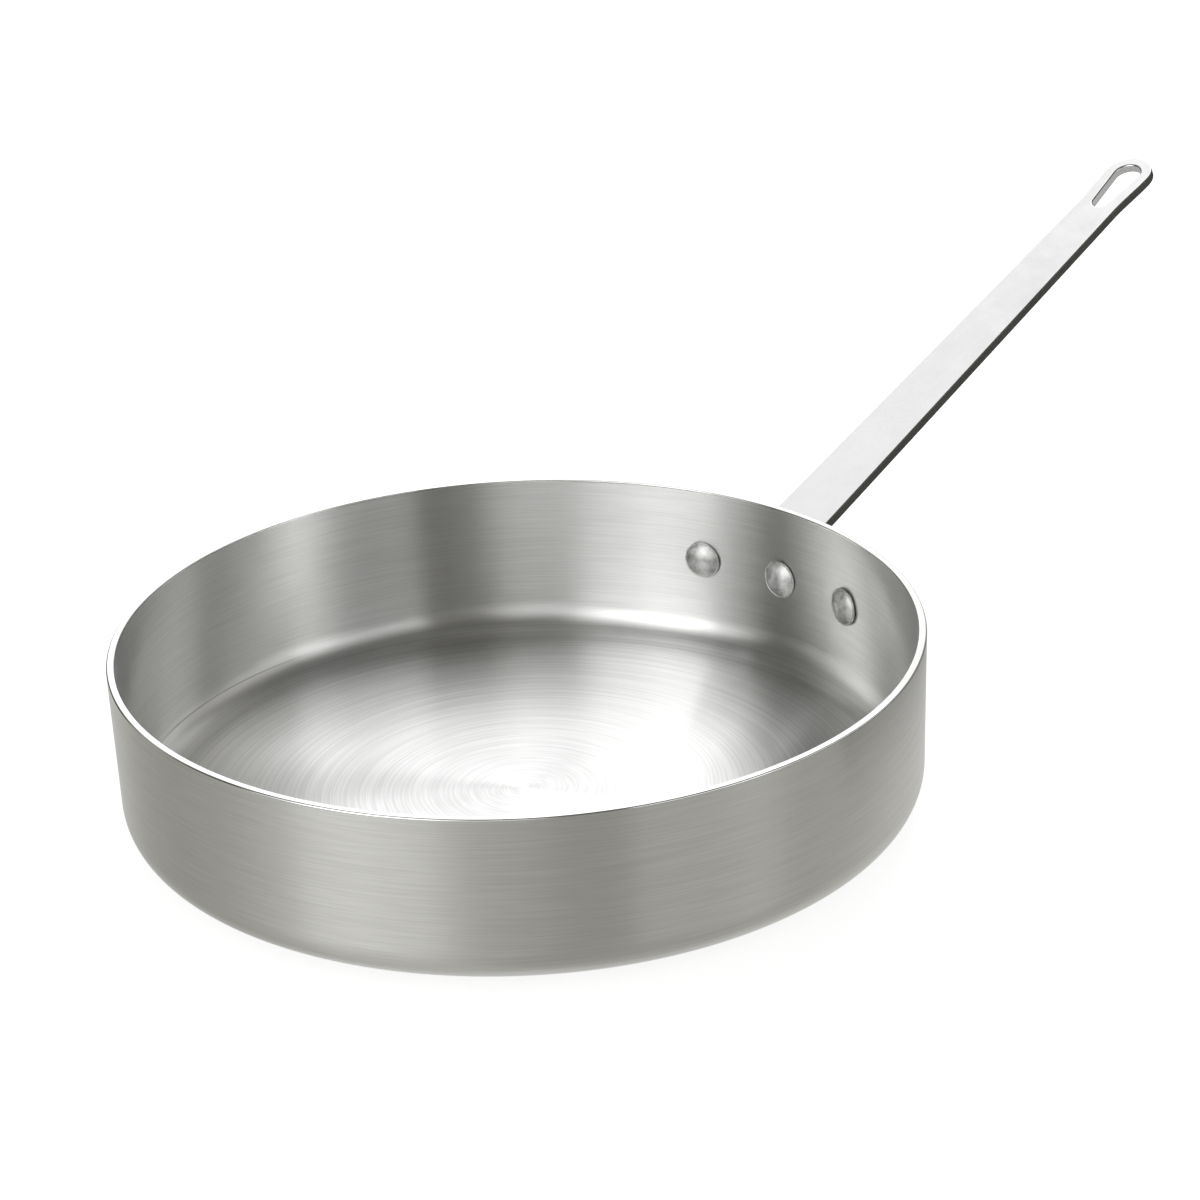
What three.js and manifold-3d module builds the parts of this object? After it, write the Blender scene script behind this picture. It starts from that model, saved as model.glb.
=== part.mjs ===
// Straight-sided saute pan: a spun aluminium body, a plated flat-bar handle and three solid rivets.
// Millimetres, +Z up. The origin is the centre of the base, and the handle points along +X.
import * as THREE from "three";
import { mergeVertices } from "three/addons/utils/BufferGeometryUtils.js";
import Module from "manifold-3d";

const degrees = Math.PI / 180;

// Pan body
const rimDiameter = 305;
const panHeight = 67.5;
const wallThickness = 3;
const floorThickness = 3;
const wallTaper = 1.4 * degrees; // lean of the wall, wider at the rim
const baseCornerRadius = 15; // outside of the turn from base to wall
const rimEdgeRadius = 0.5; // broken edges of the ground rim

// Rivets
const rivetDrop = 29.6; // rim to rivet centre line
const rivetSpacing = 38.6; // along the outside of the wall
const rivetShankDiameter = 7;
const rivetHeadDiameter = 15.2;
const rivetHeadHeight = 3.1;
const rivetHeadEdge = 0.9; // straight edge under the dome
const shopHeadDiameter = 13.6; // the end upset over the handle's plate
const shopHeadHeight = 2.6;

// Handle
const handleThickness = 3.9;
const handleAngle = 22 * degrees; // rise of the bar
const handleDrop = 10.4; // rim to the bar's top face, at the rim's outer edge
const handleReach = 251.6; // along the bar's top face, from the rim's outer edge to the tip
const bendRadius = 4; // inside of the bend between plate and bar
const plateMargin = 12; // rivet centre to the edge of the riveted plate
const shoulderHeight = 10; // the plate's wings sweep up to the bar over this height
const barRootWidth = 26;
const barWaistWidth = 19;
const loopFlareLength = 23; // waist to the widest part of the loop
const loopMargin = 4.8; // metal round the hang hole
const hangHoleWideRadius = 5.9;
const hangHoleNarrowRadius = 3.7;
const hangHoleCentres = 19.4; // between the two ends of the hang hole

// Clearances between separate pieces
const seatGap = 0.3; // faces that bear on each other
const shankGap = 0.3; // rivet shank in its holes, all round

// Resolution
const bodySegments = 96;
const rivetSegments = 24;
const cornerSteps = 7;
const headSteps = 5;
const edgeSteps = 3;
const plateSteps = 12;
const shoulderSteps = 9;
const bendSteps = 7;
const loopSteps = 9;
const acrossSteps = 12;

const rimRadius = rimDiameter / 2;
const taperSlope = Math.tan(wallTaper);
const outerRadiusAt = (z) => rimRadius - (panHeight - z) * taperSlope;
const wallAcross = wallThickness / Math.cos(wallTaper); // the wall measured level
const innerRadiusAt = (z) => outerRadiusAt(z) - wallAcross;

const rivetZ = panHeight - rivetDrop;
const rivetWallRadius = outerRadiusAt(rivetZ);
const rivetStep = rivetSpacing / rivetWallRadius; // angle between neighbours
const rivetPlaces = { rivet_right: -1, rivet_centre: 0, rivet_left: 1 };

const finishes = {
  brushedAluminium: new THREE.MeshStandardMaterial({ color: 0xc4c4c0, roughness: 0.38, metalness: 1 }),
  platedSteel: new THREE.MeshStandardMaterial({ color: 0xdcdcdb, roughness: 0.16, metalness: 1 }),
  rivetAluminium: new THREE.MeshStandardMaterial({ color: 0xb6b6b2, roughness: 0.32, metalness: 1 }),
};

const wasm = await Module();
wasm.setup();

function solidOf(geometry) {
  const bare = geometry.clone();
  bare.deleteAttribute("normal");
  bare.deleteAttribute("uv");
  const merged = mergeVertices(bare, 1e-4);
  const vertProperties = new Float32Array(merged.attributes.position.array);
  const triVerts = new Uint32Array(merged.index.array);
  return new wasm.Manifold(new wasm.Mesh({ numProp: 3, vertProperties, triVerts }));
}

function geometryOf(solid) {
  const { vertProperties, triVerts } = solid.getMesh();
  const geometry = new THREE.BufferGeometry();
  geometry.setAttribute("position", new THREE.BufferAttribute(vertProperties, 3));
  geometry.setIndex(new THREE.BufferAttribute(triVerts, 1));
  geometry.computeVertexNormals();
  return geometry;
}

function cut(geometry, cutters) {
  const cutSolid = cutters.reduce((solid, cutter) => solid.subtract(solidOf(cutter)), solidOf(geometry));
  return geometryOf(cutSolid);
}

// Points of an arc in a profile's own plane, both ends included.
function arc(centreX, centreY, radius, from, to, steps) {
  return Array.from({ length: steps + 1 }, (_, i) => {
    const angle = from + ((to - from) * i) / steps;
    return new THREE.Vector2(centreX + radius * Math.cos(angle), centreY + radius * Math.sin(angle));
  });
}

// A profile of (radius, height) turned about +Z.
function turned(profile, segments) {
  return new THREE.LatheGeometry(profile, segments).rotateX(Math.PI / 2);
}

// A rivet's own frame: the origin on the outside of the wall, +X square to the wall and outwards.
function rivetFrame(place) {
  const turn = new THREE.Group();
  const seat = new THREE.Group();
  turn.rotation.z = place * rivetStep;
  seat.position.set(rivetWallRadius, 0, rivetZ);
  seat.rotation.y = wallTaper;
  turn.add(seat);
  turn.updateMatrixWorld(true);
  return { turn, seat };
}

// Drills for the three shanks, long enough to pass the wall and the plate.
function shankDrills() {
  const radius = rivetShankDiameter / 2 + shankGap;
  const length = 4 * (wallThickness + handleThickness);
  return Object.values(rivetPlaces).map((place) =>
    new THREE.CylinderGeometry(radius, radius, length, rivetSegments)
      .rotateZ(Math.PI / 2)
      .applyMatrix4(rivetFrame(place).seat.matrixWorld),
  );
}

// The body: flat base, round corner, leaning wall and ground rim, drilled for the rivets.
function panBody() {
  const lean = wallTaper;
  const innerCornerRadius = Math.max(baseCornerRadius - wallThickness, rimEdgeRadius);
  const outerCornerX = outerRadiusAt(baseCornerRadius) - baseCornerRadius / Math.cos(lean);
  const innerCornerZ = floorThickness + innerCornerRadius;
  const innerCornerX = innerRadiusAt(innerCornerZ) - innerCornerRadius / Math.cos(lean);
  const rimZ = panHeight - rimEdgeRadius;
  const outerEdgeX = outerRadiusAt(rimZ) - rimEdgeRadius / Math.cos(lean);
  const innerEdgeX = innerRadiusAt(rimZ) + rimEdgeRadius / Math.cos(lean);
  const profile = [
    new THREE.Vector2(0, 0),
    ...arc(outerCornerX, baseCornerRadius, baseCornerRadius, -Math.PI / 2, -lean, cornerSteps),
    ...arc(outerEdgeX, rimZ, rimEdgeRadius, -lean, Math.PI / 2, edgeSteps),
    ...arc(innerEdgeX, rimZ, rimEdgeRadius, Math.PI / 2, Math.PI - lean, edgeSteps),
    ...arc(innerCornerX, innerCornerZ, innerCornerRadius, -lean, -Math.PI / 2, cornerSteps),
    new THREE.Vector2(0, floorThickness),
  ];
  const geometry = cut(turned(profile, bodySegments), shankDrills());
  const mesh = new THREE.Mesh(geometry, finishes.brushedAluminium);
  mesh.name = "pan_body";
  return mesh;
}

// A rivet along +X: a low dome inside the pan, a plain shank, and a flatter upset head outside the plate.
function rivetGeometry() {
  const headRadius = rivetHeadDiameter / 2;
  const shankRadius = rivetShankDiameter / 2;
  const shopRadius = shopHeadDiameter / 2;
  const wallRadius = innerRadiusAt(rivetZ);
  const wallHollow = wallRadius - Math.sqrt(wallRadius ** 2 - headRadius ** 2); // flat head on a hollow wall
  const headSeat = -wallThickness - wallHollow - seatGap;
  const shopSeat = seatGap + handleThickness + seatGap;
  const domeHeight = rivetHeadHeight - rivetHeadEdge;
  const domeRadius = (headRadius ** 2 + domeHeight ** 2) / (2 * domeHeight);
  const domeTop = headSeat - rivetHeadHeight;
  const domeHalfAngle = Math.asin(headRadius / domeRadius);
  const shopCrown = shopHeadHeight / 2; // round-over of the upset head
  const domeEdge = domeHalfAngle - Math.PI / 2;
  const dome = arc(0, domeTop + domeRadius, domeRadius, -Math.PI / 2, domeEdge, headSteps);
  dome[0].x = 0; // on the axis
  const profile = [
    ...dome,
    new THREE.Vector2(headRadius, headSeat),
    new THREE.Vector2(shankRadius, headSeat),
    new THREE.Vector2(shankRadius, shopSeat),
    ...arc(shopRadius - shopCrown, shopSeat + shopCrown, shopCrown, -Math.PI / 2, Math.PI / 2, headSteps),
    new THREE.Vector2(0, shopSeat + shopHeadHeight),
  ];
  return turned(profile, rivetSegments).rotateY(Math.PI / 2);
}

function rivet(name, place) {
  const { turn, seat } = rivetFrame(place);
  const mesh = new THREE.Mesh(rivetGeometry(), finishes.rivetAluminium);
  mesh.name = name;
  seat.add(mesh);
  return turn;
}

// The handle is one strip. Its face against the wall runs on, over the bend, as the top face of the bar.
// "along" is measured on that face, from the plate's lower edge to the tip.
function handleLayout() {
  const riseFromWall = Math.PI / 2 - wallTaper - handleAngle; // turn of the bend
  const faceRadius = bendRadius + handleThickness;
  // The corner where the plate's line and the bar's line would meet.
  const faceOffset = seatGap / Math.cos(wallTaper);
  const barTopAtRim = panHeight - handleDrop;
  const barSlope = Math.tan(handleAngle);
  const cornerX =
    (outerRadiusAt(barTopAtRim) + faceOffset - rimRadius * barSlope * taperSlope) / (1 - barSlope * taperSlope);
  const cornerZ = barTopAtRim + (cornerX - rimRadius) * barSlope;
  const corner = new THREE.Vector2(cornerX, cornerZ);
  const up = new THREE.Vector2(Math.sin(wallTaper), Math.cos(wallTaper));
  const out = new THREE.Vector2(Math.cos(handleAngle), Math.sin(handleAngle));
  const setback = faceRadius * Math.tan(riseFromWall / 2);
  const rivetBelowCorner = (cornerZ - rivetZ) / Math.cos(wallTaper);
  const bendStart = plateMargin + rivetBelowCorner - setback;
  const bendEnd = bendStart + faceRadius * riseFromWall;
  const rimEdgeToCorner = (rimRadius - cornerX) / Math.cos(handleAngle);
  const tip = bendEnd + handleReach + rimEdgeToCorner - setback;
  const bendFoot = corner.clone().addScaledVector(up, -setback);
  const bendTop = corner.clone().addScaledVector(out, setback);
  const loopRadius = hangHoleWideRadius + loopMargin;
  return { riseFromWall, faceRadius, up, out, bendStart, bendEnd, bendFoot, bendTop, tip, loopRadius };
}

// Half the strip's width at each station, as [along, half width], from the plate's lower edge to the tip.
function handleOutline(layout) {
  const { bendStart, bendEnd, tip, loopRadius } = layout;
  const plateTop = 2 * plateMargin;
  const neck = barRootWidth / 2;
  const waist = barWaistWidth / 2;
  const loopCentre = tip - loopRadius;
  const waistAlong = loopCentre - loopFlareLength;
  const rootAlong = Math.max(plateTop + shoulderHeight, bendEnd);
  const halfWidthAt = (along) => {
    if (along <= plateTop) {
      return rivetSpacing + Math.sqrt(Math.max(0, plateMargin ** 2 - (along - plateMargin) ** 2));
    }
    if (along < plateTop + shoulderHeight) {
      const left = (plateTop + shoulderHeight - along) / shoulderHeight;
      return rivetSpacing - (rivetSpacing - neck) * Math.sqrt(1 - left ** 2);
    }
    if (along < rootAlong) return neck;
    if (along < waistAlong) {
      return THREE.MathUtils.mapLinear(along, rootAlong, waistAlong, neck, waist);
    }
    if (along < loopCentre) {
      return waist + (loopRadius - waist) * THREE.MathUtils.smoothstep(along, waistAlong, loopCentre);
    }
    return Math.sqrt(Math.max(0, loopRadius ** 2 - (along - loopCentre) ** 2));
  };
  const stations = new Set();
  for (let i = 0; i <= plateSteps; i++) {
    stations.add(plateMargin * (1 - Math.cos((Math.PI * i) / plateSteps)));
  }
  for (let i = 1; i <= shoulderSteps; i++) {
    stations.add(plateTop + shoulderHeight * (1 - Math.cos((Math.PI * i) / (2 * shoulderSteps))));
  }
  for (let i = 0; i <= bendSteps; i++) {
    stations.add(bendStart + ((bendEnd - bendStart) * i) / bendSteps);
  }
  for (let i = 0; i <= loopSteps; i++) {
    stations.add(waistAlong + (loopFlareLength * i) / loopSteps);
  }
  for (let i = 1; i < loopSteps; i++) {
    stations.add(loopCentre + loopRadius * Math.sin((Math.PI * i) / (2 * loopSteps)));
  }
  return [...stations].sort((a, b) => a - b).map((along) => [along, halfWidthAt(along)]);
}

// Where a point of the flat strip goes: along it, across it, and a depth under its face.
function handlePoint(layout, along, across, depth) {
  const { riseFromWall, faceRadius, up, out, bendStart, bendEnd, bendFoot, bendTop } = layout;
  const turn = THREE.MathUtils.clamp((along - bendStart) / (bendEnd - bendStart), 0, 1) * riseFromWall;
  const under = new THREE.Vector2(up.y, -up.x).rotateAround(new THREE.Vector2(), -turn);
  let face;
  if (along <= bendStart) face = bendFoot.clone().addScaledVector(up, along - bendStart);
  else if (along >= bendEnd) face = bendTop.clone().addScaledVector(out, along - bendEnd);
  else {
    const towardsFoot = new THREE.Vector2(up.y, -up.x);
    const bendCentre = bendFoot.clone().addScaledVector(towardsFoot, faceRadius);
    face = bendCentre.addScaledVector(under, -faceRadius);
  }
  const section = face.addScaledVector(under, depth);
  // The plate is curved round the pan. Its curve fades out over the bend, so that the bar is flat.
  const roundness = 1 - THREE.MathUtils.smoothstep(along, bendStart, bendEnd);
  if (roundness === 0) return new THREE.Vector3(section.x, across, section.y);
  const radius = section.x / roundness;
  const angle = across / radius;
  return new THREE.Vector3(section.x - radius * (1 - Math.cos(angle)), radius * Math.sin(angle), section.y);
}

// A closed skin over a grid of stations: face, underside, both edges and both ends.
function stripGeometry(layout, outline) {
  const positions = [];
  const indices = [];
  const rowLength = acrossSteps + 1;
  const ring = 2 * rowLength;
  for (const [along, halfWidth] of outline) {
    for (const depth of [0, handleThickness]) {
      for (let i = 0; i <= acrossSteps; i++) {
        const across = halfWidth * (1 - (2 * i) / acrossSteps);
        positions.push(...handlePoint(layout, along, across, depth).toArray());
      }
    }
  }
  const quad = (a, b, c, d) => indices.push(a, c, b, a, d, c);
  const face = (station, i) => station * ring + i;
  const underside = (station, i) => station * ring + rowLength + i;
  const last = outline.length - 1;
  for (let i = 0; i < acrossSteps; i++) {
    quad(face(0, i + 1), underside(0, i + 1), underside(0, i), face(0, i));
    quad(face(last, i), underside(last, i), underside(last, i + 1), face(last, i + 1));
    for (let s = 0; s < last; s++) {
      quad(face(s, i), face(s + 1, i), face(s + 1, i + 1), face(s, i + 1));
      quad(underside(s, i + 1), underside(s + 1, i + 1), underside(s + 1, i), underside(s, i));
    }
  }
  for (let s = 0; s < last; s++) {
    quad(underside(s, 0), underside(s + 1, 0), face(s + 1, 0), face(s, 0));
    const end = acrossSteps;
    quad(face(s, end), face(s + 1, end), underside(s + 1, end), underside(s, end));
  }
  const geometry = new THREE.BufferGeometry();
  geometry.setAttribute("position", new THREE.Float32BufferAttribute(positions, 3));
  geometry.setIndex(indices);
  return geometry;
}

// A punch for the hang hole: two round ends of different sizes joined by their tangents.
function hangHolePunch(layout) {
  const { out, bendTop, bendEnd, tip, loopRadius } = layout;
  const spread = Math.acos((hangHoleWideRadius - hangHoleNarrowRadius) / hangHoleCentres);
  const wideAlong = tip - loopRadius - bendEnd;
  const narrowAlong = wideAlong - hangHoleCentres;
  const shape = new THREE.Shape([
    ...arc(wideAlong, 0, hangHoleWideRadius, spread - Math.PI, Math.PI - spread, 2 * loopSteps),
    ...arc(narrowAlong, 0, hangHoleNarrowRadius, Math.PI - spread, Math.PI + spread, loopSteps),
  ]);
  const depth = 3 * handleThickness;
  const geometry = new THREE.ExtrudeGeometry(shape, { depth, bevelEnabled: false, curveSegments: 1 });
  const barAxes = new THREE.Matrix4().makeBasis(
    new THREE.Vector3(out.x, 0, out.y),
    new THREE.Vector3(0, 1, 0),
    new THREE.Vector3(-out.y, 0, out.x),
  );
  barAxes.setPosition(bendTop.x, 0, bendTop.y);
  return geometry.translate(0, 0, -2 * handleThickness).applyMatrix4(barAxes);
}

function handle() {
  const layout = handleLayout();
  const strip = stripGeometry(layout, handleOutline(layout));
  const geometry = cut(strip, [hangHolePunch(layout), ...shankDrills()]);
  const mesh = new THREE.Mesh(geometry, finishes.platedSteel);
  mesh.name = "handle";
  return mesh;
}

const sautePan = new THREE.Group();
sautePan.add(panBody(), handle());
for (const [name, place] of Object.entries(rivetPlaces)) sautePan.add(rivet(name, place));

export default sautePan;
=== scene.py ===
import math

import bpy
from mathutils import Matrix, Vector
from mathutils.geometry import delaunay_2d_cdt


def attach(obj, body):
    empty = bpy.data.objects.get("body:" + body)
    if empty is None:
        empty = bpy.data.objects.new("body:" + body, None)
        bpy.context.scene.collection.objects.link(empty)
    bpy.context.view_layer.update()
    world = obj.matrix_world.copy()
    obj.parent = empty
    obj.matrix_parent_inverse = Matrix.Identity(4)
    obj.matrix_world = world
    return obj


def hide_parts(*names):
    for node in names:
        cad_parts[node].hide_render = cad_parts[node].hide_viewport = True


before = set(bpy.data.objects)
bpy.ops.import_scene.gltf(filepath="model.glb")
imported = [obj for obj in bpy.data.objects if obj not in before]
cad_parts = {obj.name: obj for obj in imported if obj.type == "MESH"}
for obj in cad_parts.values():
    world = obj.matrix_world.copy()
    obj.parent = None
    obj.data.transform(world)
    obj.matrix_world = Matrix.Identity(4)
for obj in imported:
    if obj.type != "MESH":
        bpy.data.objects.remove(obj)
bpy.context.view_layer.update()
print("frame loaded:", sorted(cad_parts))

scene = bpy.context.scene
scene.view_settings.view_transform = "Standard"
quarter = math.pi / 2


# sizes of the pieces are in millimetres, meshes are in metres
def makeMesh(name, points, normals, faces):
    mesh = bpy.data.meshes.new(name)
    mesh.from_pydata([Vector(p) / 1000 for p in points], [], faces)
    mesh.validate()
    mesh.polygons.foreach_set("use_smooth", [True] * len(mesh.polygons))
    mesh.normals_split_custom_set_from_vertices([Vector(n).normalized() for n in normals])
    obj = bpy.data.objects.new(name, mesh)
    scene.collection.objects.link(obj)
    return obj


def dress(obj, node, material):
    obj.data.materials.append(material)
    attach(obj, "root")
    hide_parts(node)
    return obj


# an arc as (radius, height, normal radius, normal height), hollow arcs face their centre
def profileArc(centreR, centreZ, radius, start, end, steps, hollow=False):
    side = -1 if hollow else 1
    out = []
    for i in range(steps + 1):
        a = start + (end - start) * i / steps
        c, s = math.cos(a), math.sin(a)
        out.append((centreR + radius * c, centreZ + radius * s, side * c, side * s))
    return out


# spins a profile about Z, outside of the metal on the right of its direction of travel
def spinProfile(profile, turns):
    points, normals, faces, rings = [], [], [], []
    for r, z, nr, nz in profile:
        if r < 1e-6:
            rings.append([len(points)])
            points.append((0, 0, z))
            normals.append((0, 0, nz))
            continue
        rings.append(list(range(len(points), len(points) + turns)))
        for i in range(turns):
            a = 2 * math.pi * i / turns
            points.append((r * math.cos(a), r * math.sin(a), z))
            normals.append((nr * math.cos(a), nr * math.sin(a), nz))
    for low, high in zip(rings, rings[1:]):
        for i in range(turns):
            j = (i + 1) % turns
            if len(low) == 1:
                faces.append((low[0], high[j], high[i]))
            elif len(high) == 1:
                faces.append((low[i], low[j], high[0]))
            else:
                faces.append((low[i], low[j], high[j], high[i]))
    return points, normals, faces


panBody = {
    "rimRadius": 152.5, "height": 67.5, "wall": 3.0, "floor": 3.0, "lean": math.radians(1.4),
    "corner": 15.0, "rimEdge": 0.45, "rimOuterEdge": 0.7, "turns": 320,
    "cornerSteps": 28, "edgeSteps": 6, "floorSteps": 6, "wallRings": (22, 32, 42, 52, 60),
}


def wallOutside(z):
    return panBody["rimRadius"] - (panBody["height"] - z) * math.tan(panBody["lean"])


def wallInside(z):
    return wallOutside(z) - panBody["wall"] / math.cos(panBody["lean"])


# from the middle of the underside out, up the wall, over the rim and back along the floor
def buildPanBody(material):
    b = panBody
    lean, edge, outerEdge, corner = b["lean"], b["rimEdge"], b["rimOuterEdge"], b["corner"]
    c, s = math.cos(lean), math.sin(lean)
    slant = 1 / c
    steps, rings = b["floorSteps"], b["wallRings"]
    innerCorner = corner - b["wall"]
    innerZ = b["floor"] + innerCorner
    rimZ, outerRimZ = b["height"] - edge, b["height"] - outerEdge
    cornerR = wallOutside(corner) - corner * slant
    floorR = wallInside(innerZ) - innerCorner * slant
    outerRoll = wallOutside(outerRimZ) - outerEdge * slant
    innerRoll = wallInside(rimZ) + edge * slant
    profile = [(cornerR * k / steps, 0, 0, -1) for k in range(steps)]
    profile += profileArc(cornerR, corner, corner, -quarter, -lean, b["cornerSteps"])
    profile += [(wallOutside(z), z, c, -s) for z in rings]
    profile += profileArc(outerRoll, outerRimZ, outerEdge, -lean, quarter, b["edgeSteps"])
    profile += profileArc(innerRoll, rimZ, edge, quarter, math.pi - lean, b["edgeSteps"])
    profile += [(wallInside(z), z, -c, s) for z in reversed(rings)]
    profile += profileArc(floorR, innerZ, innerCorner, -lean, -quarter, b["cornerSteps"], hollow=True)
    profile += [(floorR * k / steps, b["floor"], 0, 1) for k in range(steps - 1, -1, -1)]
    body = makeMesh("panBody", *spinProfile(profile, b["turns"]))
    return dress(body, "pan_body", material)


rivets = {
    "drop": 29.6, "spacing": 38.6, "shank": 3.5, "head": 7.6, "headHeight": 3.1, "headEdge": 0.9,
    "lip": 0.62, "lipRoll": 0.25, "groove": 0.12, "grooveFoot": 0.06, "grooveTop": 0.12,
    "underEdge": 0.2, "shankEnd": 0.05, "shopHead": 6.8, "shopHeight": 2.6, "gap": 0.3,
    "turns": 72, "domeSteps": 18, "lipSteps": 4, "crownSteps": 12,
    "places": {"Right": -1, "Centre": 0, "Left": 1},
}


# from the middle of the head outwards, then down the shank to the head struck outside
def rivetProfile(seat, shopSeat):
    k = rivets
    head, shank, under, end = k["head"], k["shank"], k["underEdge"], k["shankEnd"]
    domeFoot = head - k["lip"]
    dome = k["headHeight"] - k["headEdge"] + k["groove"]
    domeR = (domeFoot ** 2 + dome ** 2) / (2 * dome)
    domeEnd = math.asin(domeFoot / domeR) - quarter
    top = seat - k["headHeight"]
    profile = profileArc(0, top + domeR, domeR, -quarter, domeEnd, k["domeSteps"])
    profile[0] = (0, top, 0, -1)
    lipTop, roll = seat - k["headEdge"], k["lipRoll"]
    profile += [(domeFoot + k["grooveFoot"], lipTop + k["groove"], -0.3, -1)]
    profile += [(domeFoot + k["grooveTop"], lipTop, -0.5, -1)]
    profile += profileArc(head - roll, lipTop + roll, roll, -quarter, 0, k["lipSteps"])
    profile += [(head, seat - under, 1, 0), (head - under, seat, 0.3, 1)]
    profile += [(shank, seat, 0, 1), (shank, seat + end, 1, 0)]
    profile += [(shank, shopSeat - end, 1, 0), (shank, shopSeat, 0, -1)]
    crown = k["shopHeight"] / 2
    crownR = k["shopHead"] - crown
    profile += profileArc(crownR, shopSeat + crown, crown, -quarter, quarter, k["crownSteps"])
    return profile + [(0, shopSeat + k["shopHeight"], 0, 1)]


def buildRivets(material, plateThickness):
    k = rivets
    z = panBody["height"] - k["drop"]
    wallR = wallOutside(z)
    hollow = wallInside(z) - math.sqrt(wallInside(z) ** 2 - k["head"] ** 2)
    seat = -panBody["wall"] - hollow - k["gap"]
    profile = rivetProfile(seat, 2 * k["gap"] + plateThickness)
    points, normals, faces = spinProfile(profile, k["turns"])
    tilt = Matrix.Rotation(panBody["lean"], 3, "Y") @ Matrix.Rotation(quarter, 3, "Y")
    for side, place in k["places"].items():
        turn = Matrix.Rotation(place * k["spacing"] / wallR, 3, "Z")
        lay = turn @ tilt
        base = turn @ Vector((wallR, 0, z))
        laid = [base + lay @ Vector(p) for p in points]
        facing = [lay @ Vector(n) for n in normals]
        rivet = makeMesh("rivet" + side, laid, facing, faces)
        dress(rivet, "rivet_" + side.lower(), material)


handle = {
    "thickness": 3.9, "rise": math.radians(22), "drop": 10.4, "reach": 251.6, "bend": 4.0,
    "plateMargin": 12.0, "shoulder": 10.0, "rootWidth": 26.0, "waistWidth": 19.0,
    "flare": 23.0, "loopMargin": 4.8, "holeWide": 5.9, "holeNarrow": 3.7, "holeCentres": 19.4,
    "seatGap": 0.3, "edge": 0.6, "edgeTurn": math.radians(52),
    "holeEdge": 0.8, "holeTurn": math.radians(66), "edgeSteps": 5,
    "plateSteps": 30, "shoulderSteps": 20, "barSteps": 60, "loopSteps": 24, "holeSteps": (40, 24),
    "plateGrid": 2.6, "gridPastBend": 6.0, "gridInset": 1.6, "gridFoot": 0.8,
}


# the strip's face runs up the wall, over the bend and out along the top of the bar
def layOutHandle():
    h, lean = handle, panBody["lean"]
    rimR, rise, slope = panBody["rimRadius"], h["rise"], math.tan(panBody["lean"])
    turn = quarter - lean - rise
    faceR = h["bend"] + h["thickness"]
    topAtRim = panBody["height"] - h["drop"]
    climb = math.tan(rise)
    wallX = wallOutside(topAtRim) + h["seatGap"] / math.cos(lean)
    cornerX = (wallX - rimR * climb * slope) / (1 - climb * slope)
    cornerZ = topAtRim + (cornerX - rimR) * climb
    up = Vector((math.sin(lean), math.cos(lean)))
    out = Vector((math.cos(rise), math.sin(rise)))
    setback = faceR * math.tan(turn / 2)
    rivetZ = panBody["height"] - rivets["drop"]
    bendStart = h["plateMargin"] + (cornerZ - rivetZ) / math.cos(lean) - setback
    bendEnd = bendStart + faceR * turn
    tip = bendEnd + h["reach"] + (rimR - cornerX) / math.cos(rise) - setback
    corner = Vector((cornerX, cornerZ))
    loopR = h["holeWide"] + h["loopMargin"]
    return {
        "turn": turn, "faceR": faceR, "up": up, "out": out,
        "bendStart": bendStart, "bendEnd": bendEnd,
        "foot": corner - up * setback, "top": corner + out * setback,
        "loopR": loopR, "loopCentre": tip - loopR, "waist": tip - loopR - h["flare"],
        "plateTop": 2 * h["plateMargin"],
    }


def smoothStep(x, low, high):
    t = min(max((x - low) / (high - low), 0), 1)
    return t * t * (3 - 2 * t)


def halfWidth(lay, along):
    h = handle
    neck, waist, wing = h["rootWidth"] / 2, h["waistWidth"] / 2, rivets["spacing"]
    shoulderTop = lay["plateTop"] + h["shoulder"]
    root = max(shoulderTop, lay["bendEnd"])
    if along <= lay["plateTop"]:
        return wing + math.sqrt(max(0, h["plateMargin"] ** 2 - (along - h["plateMargin"]) ** 2))
    if along < shoulderTop:
        left = (shoulderTop - along) / h["shoulder"]
        return wing - (wing - neck) * math.sqrt(1 - left ** 2)
    if along < root:
        return neck
    if along < lay["waist"]:
        return neck + (waist - neck) * (along - root) / (lay["waist"] - root)
    if along < lay["loopCentre"]:
        return waist + (lay["loopR"] - waist) * smoothStep(along, lay["waist"], lay["loopCentre"])
    return math.sqrt(max(0, lay["loopR"] ** 2 - (along - lay["loopCentre"]) ** 2))


# where a point of the flat strip goes: along it, across it, and a depth under its face
def foldStrip(lay, along, across, depth):
    up, out, start, end = lay["up"], lay["out"], lay["bendStart"], lay["bendEnd"]
    away = Vector((up.y, -up.x))
    bent = min(max((along - start) / (end - start), 0), 1) * lay["turn"]
    under = Matrix.Rotation(-bent, 2) @ away
    if along <= start:
        face = lay["foot"] + up * (along - start)
    elif along >= end:
        face = lay["top"] + out * (along - end)
    else:
        face = lay["foot"] + away * lay["faceR"] - under * lay["faceR"]
    section = face + under * depth
    roundness = 1 - smoothStep(along, start, end)
    if roundness < 1e-6:
        return Vector((section.x, across, section.y))
    radius = section.x / roundness
    a = across / radius
    return Vector((section.x - radius * (1 - math.cos(a)), radius * math.sin(a), section.y))


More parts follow.
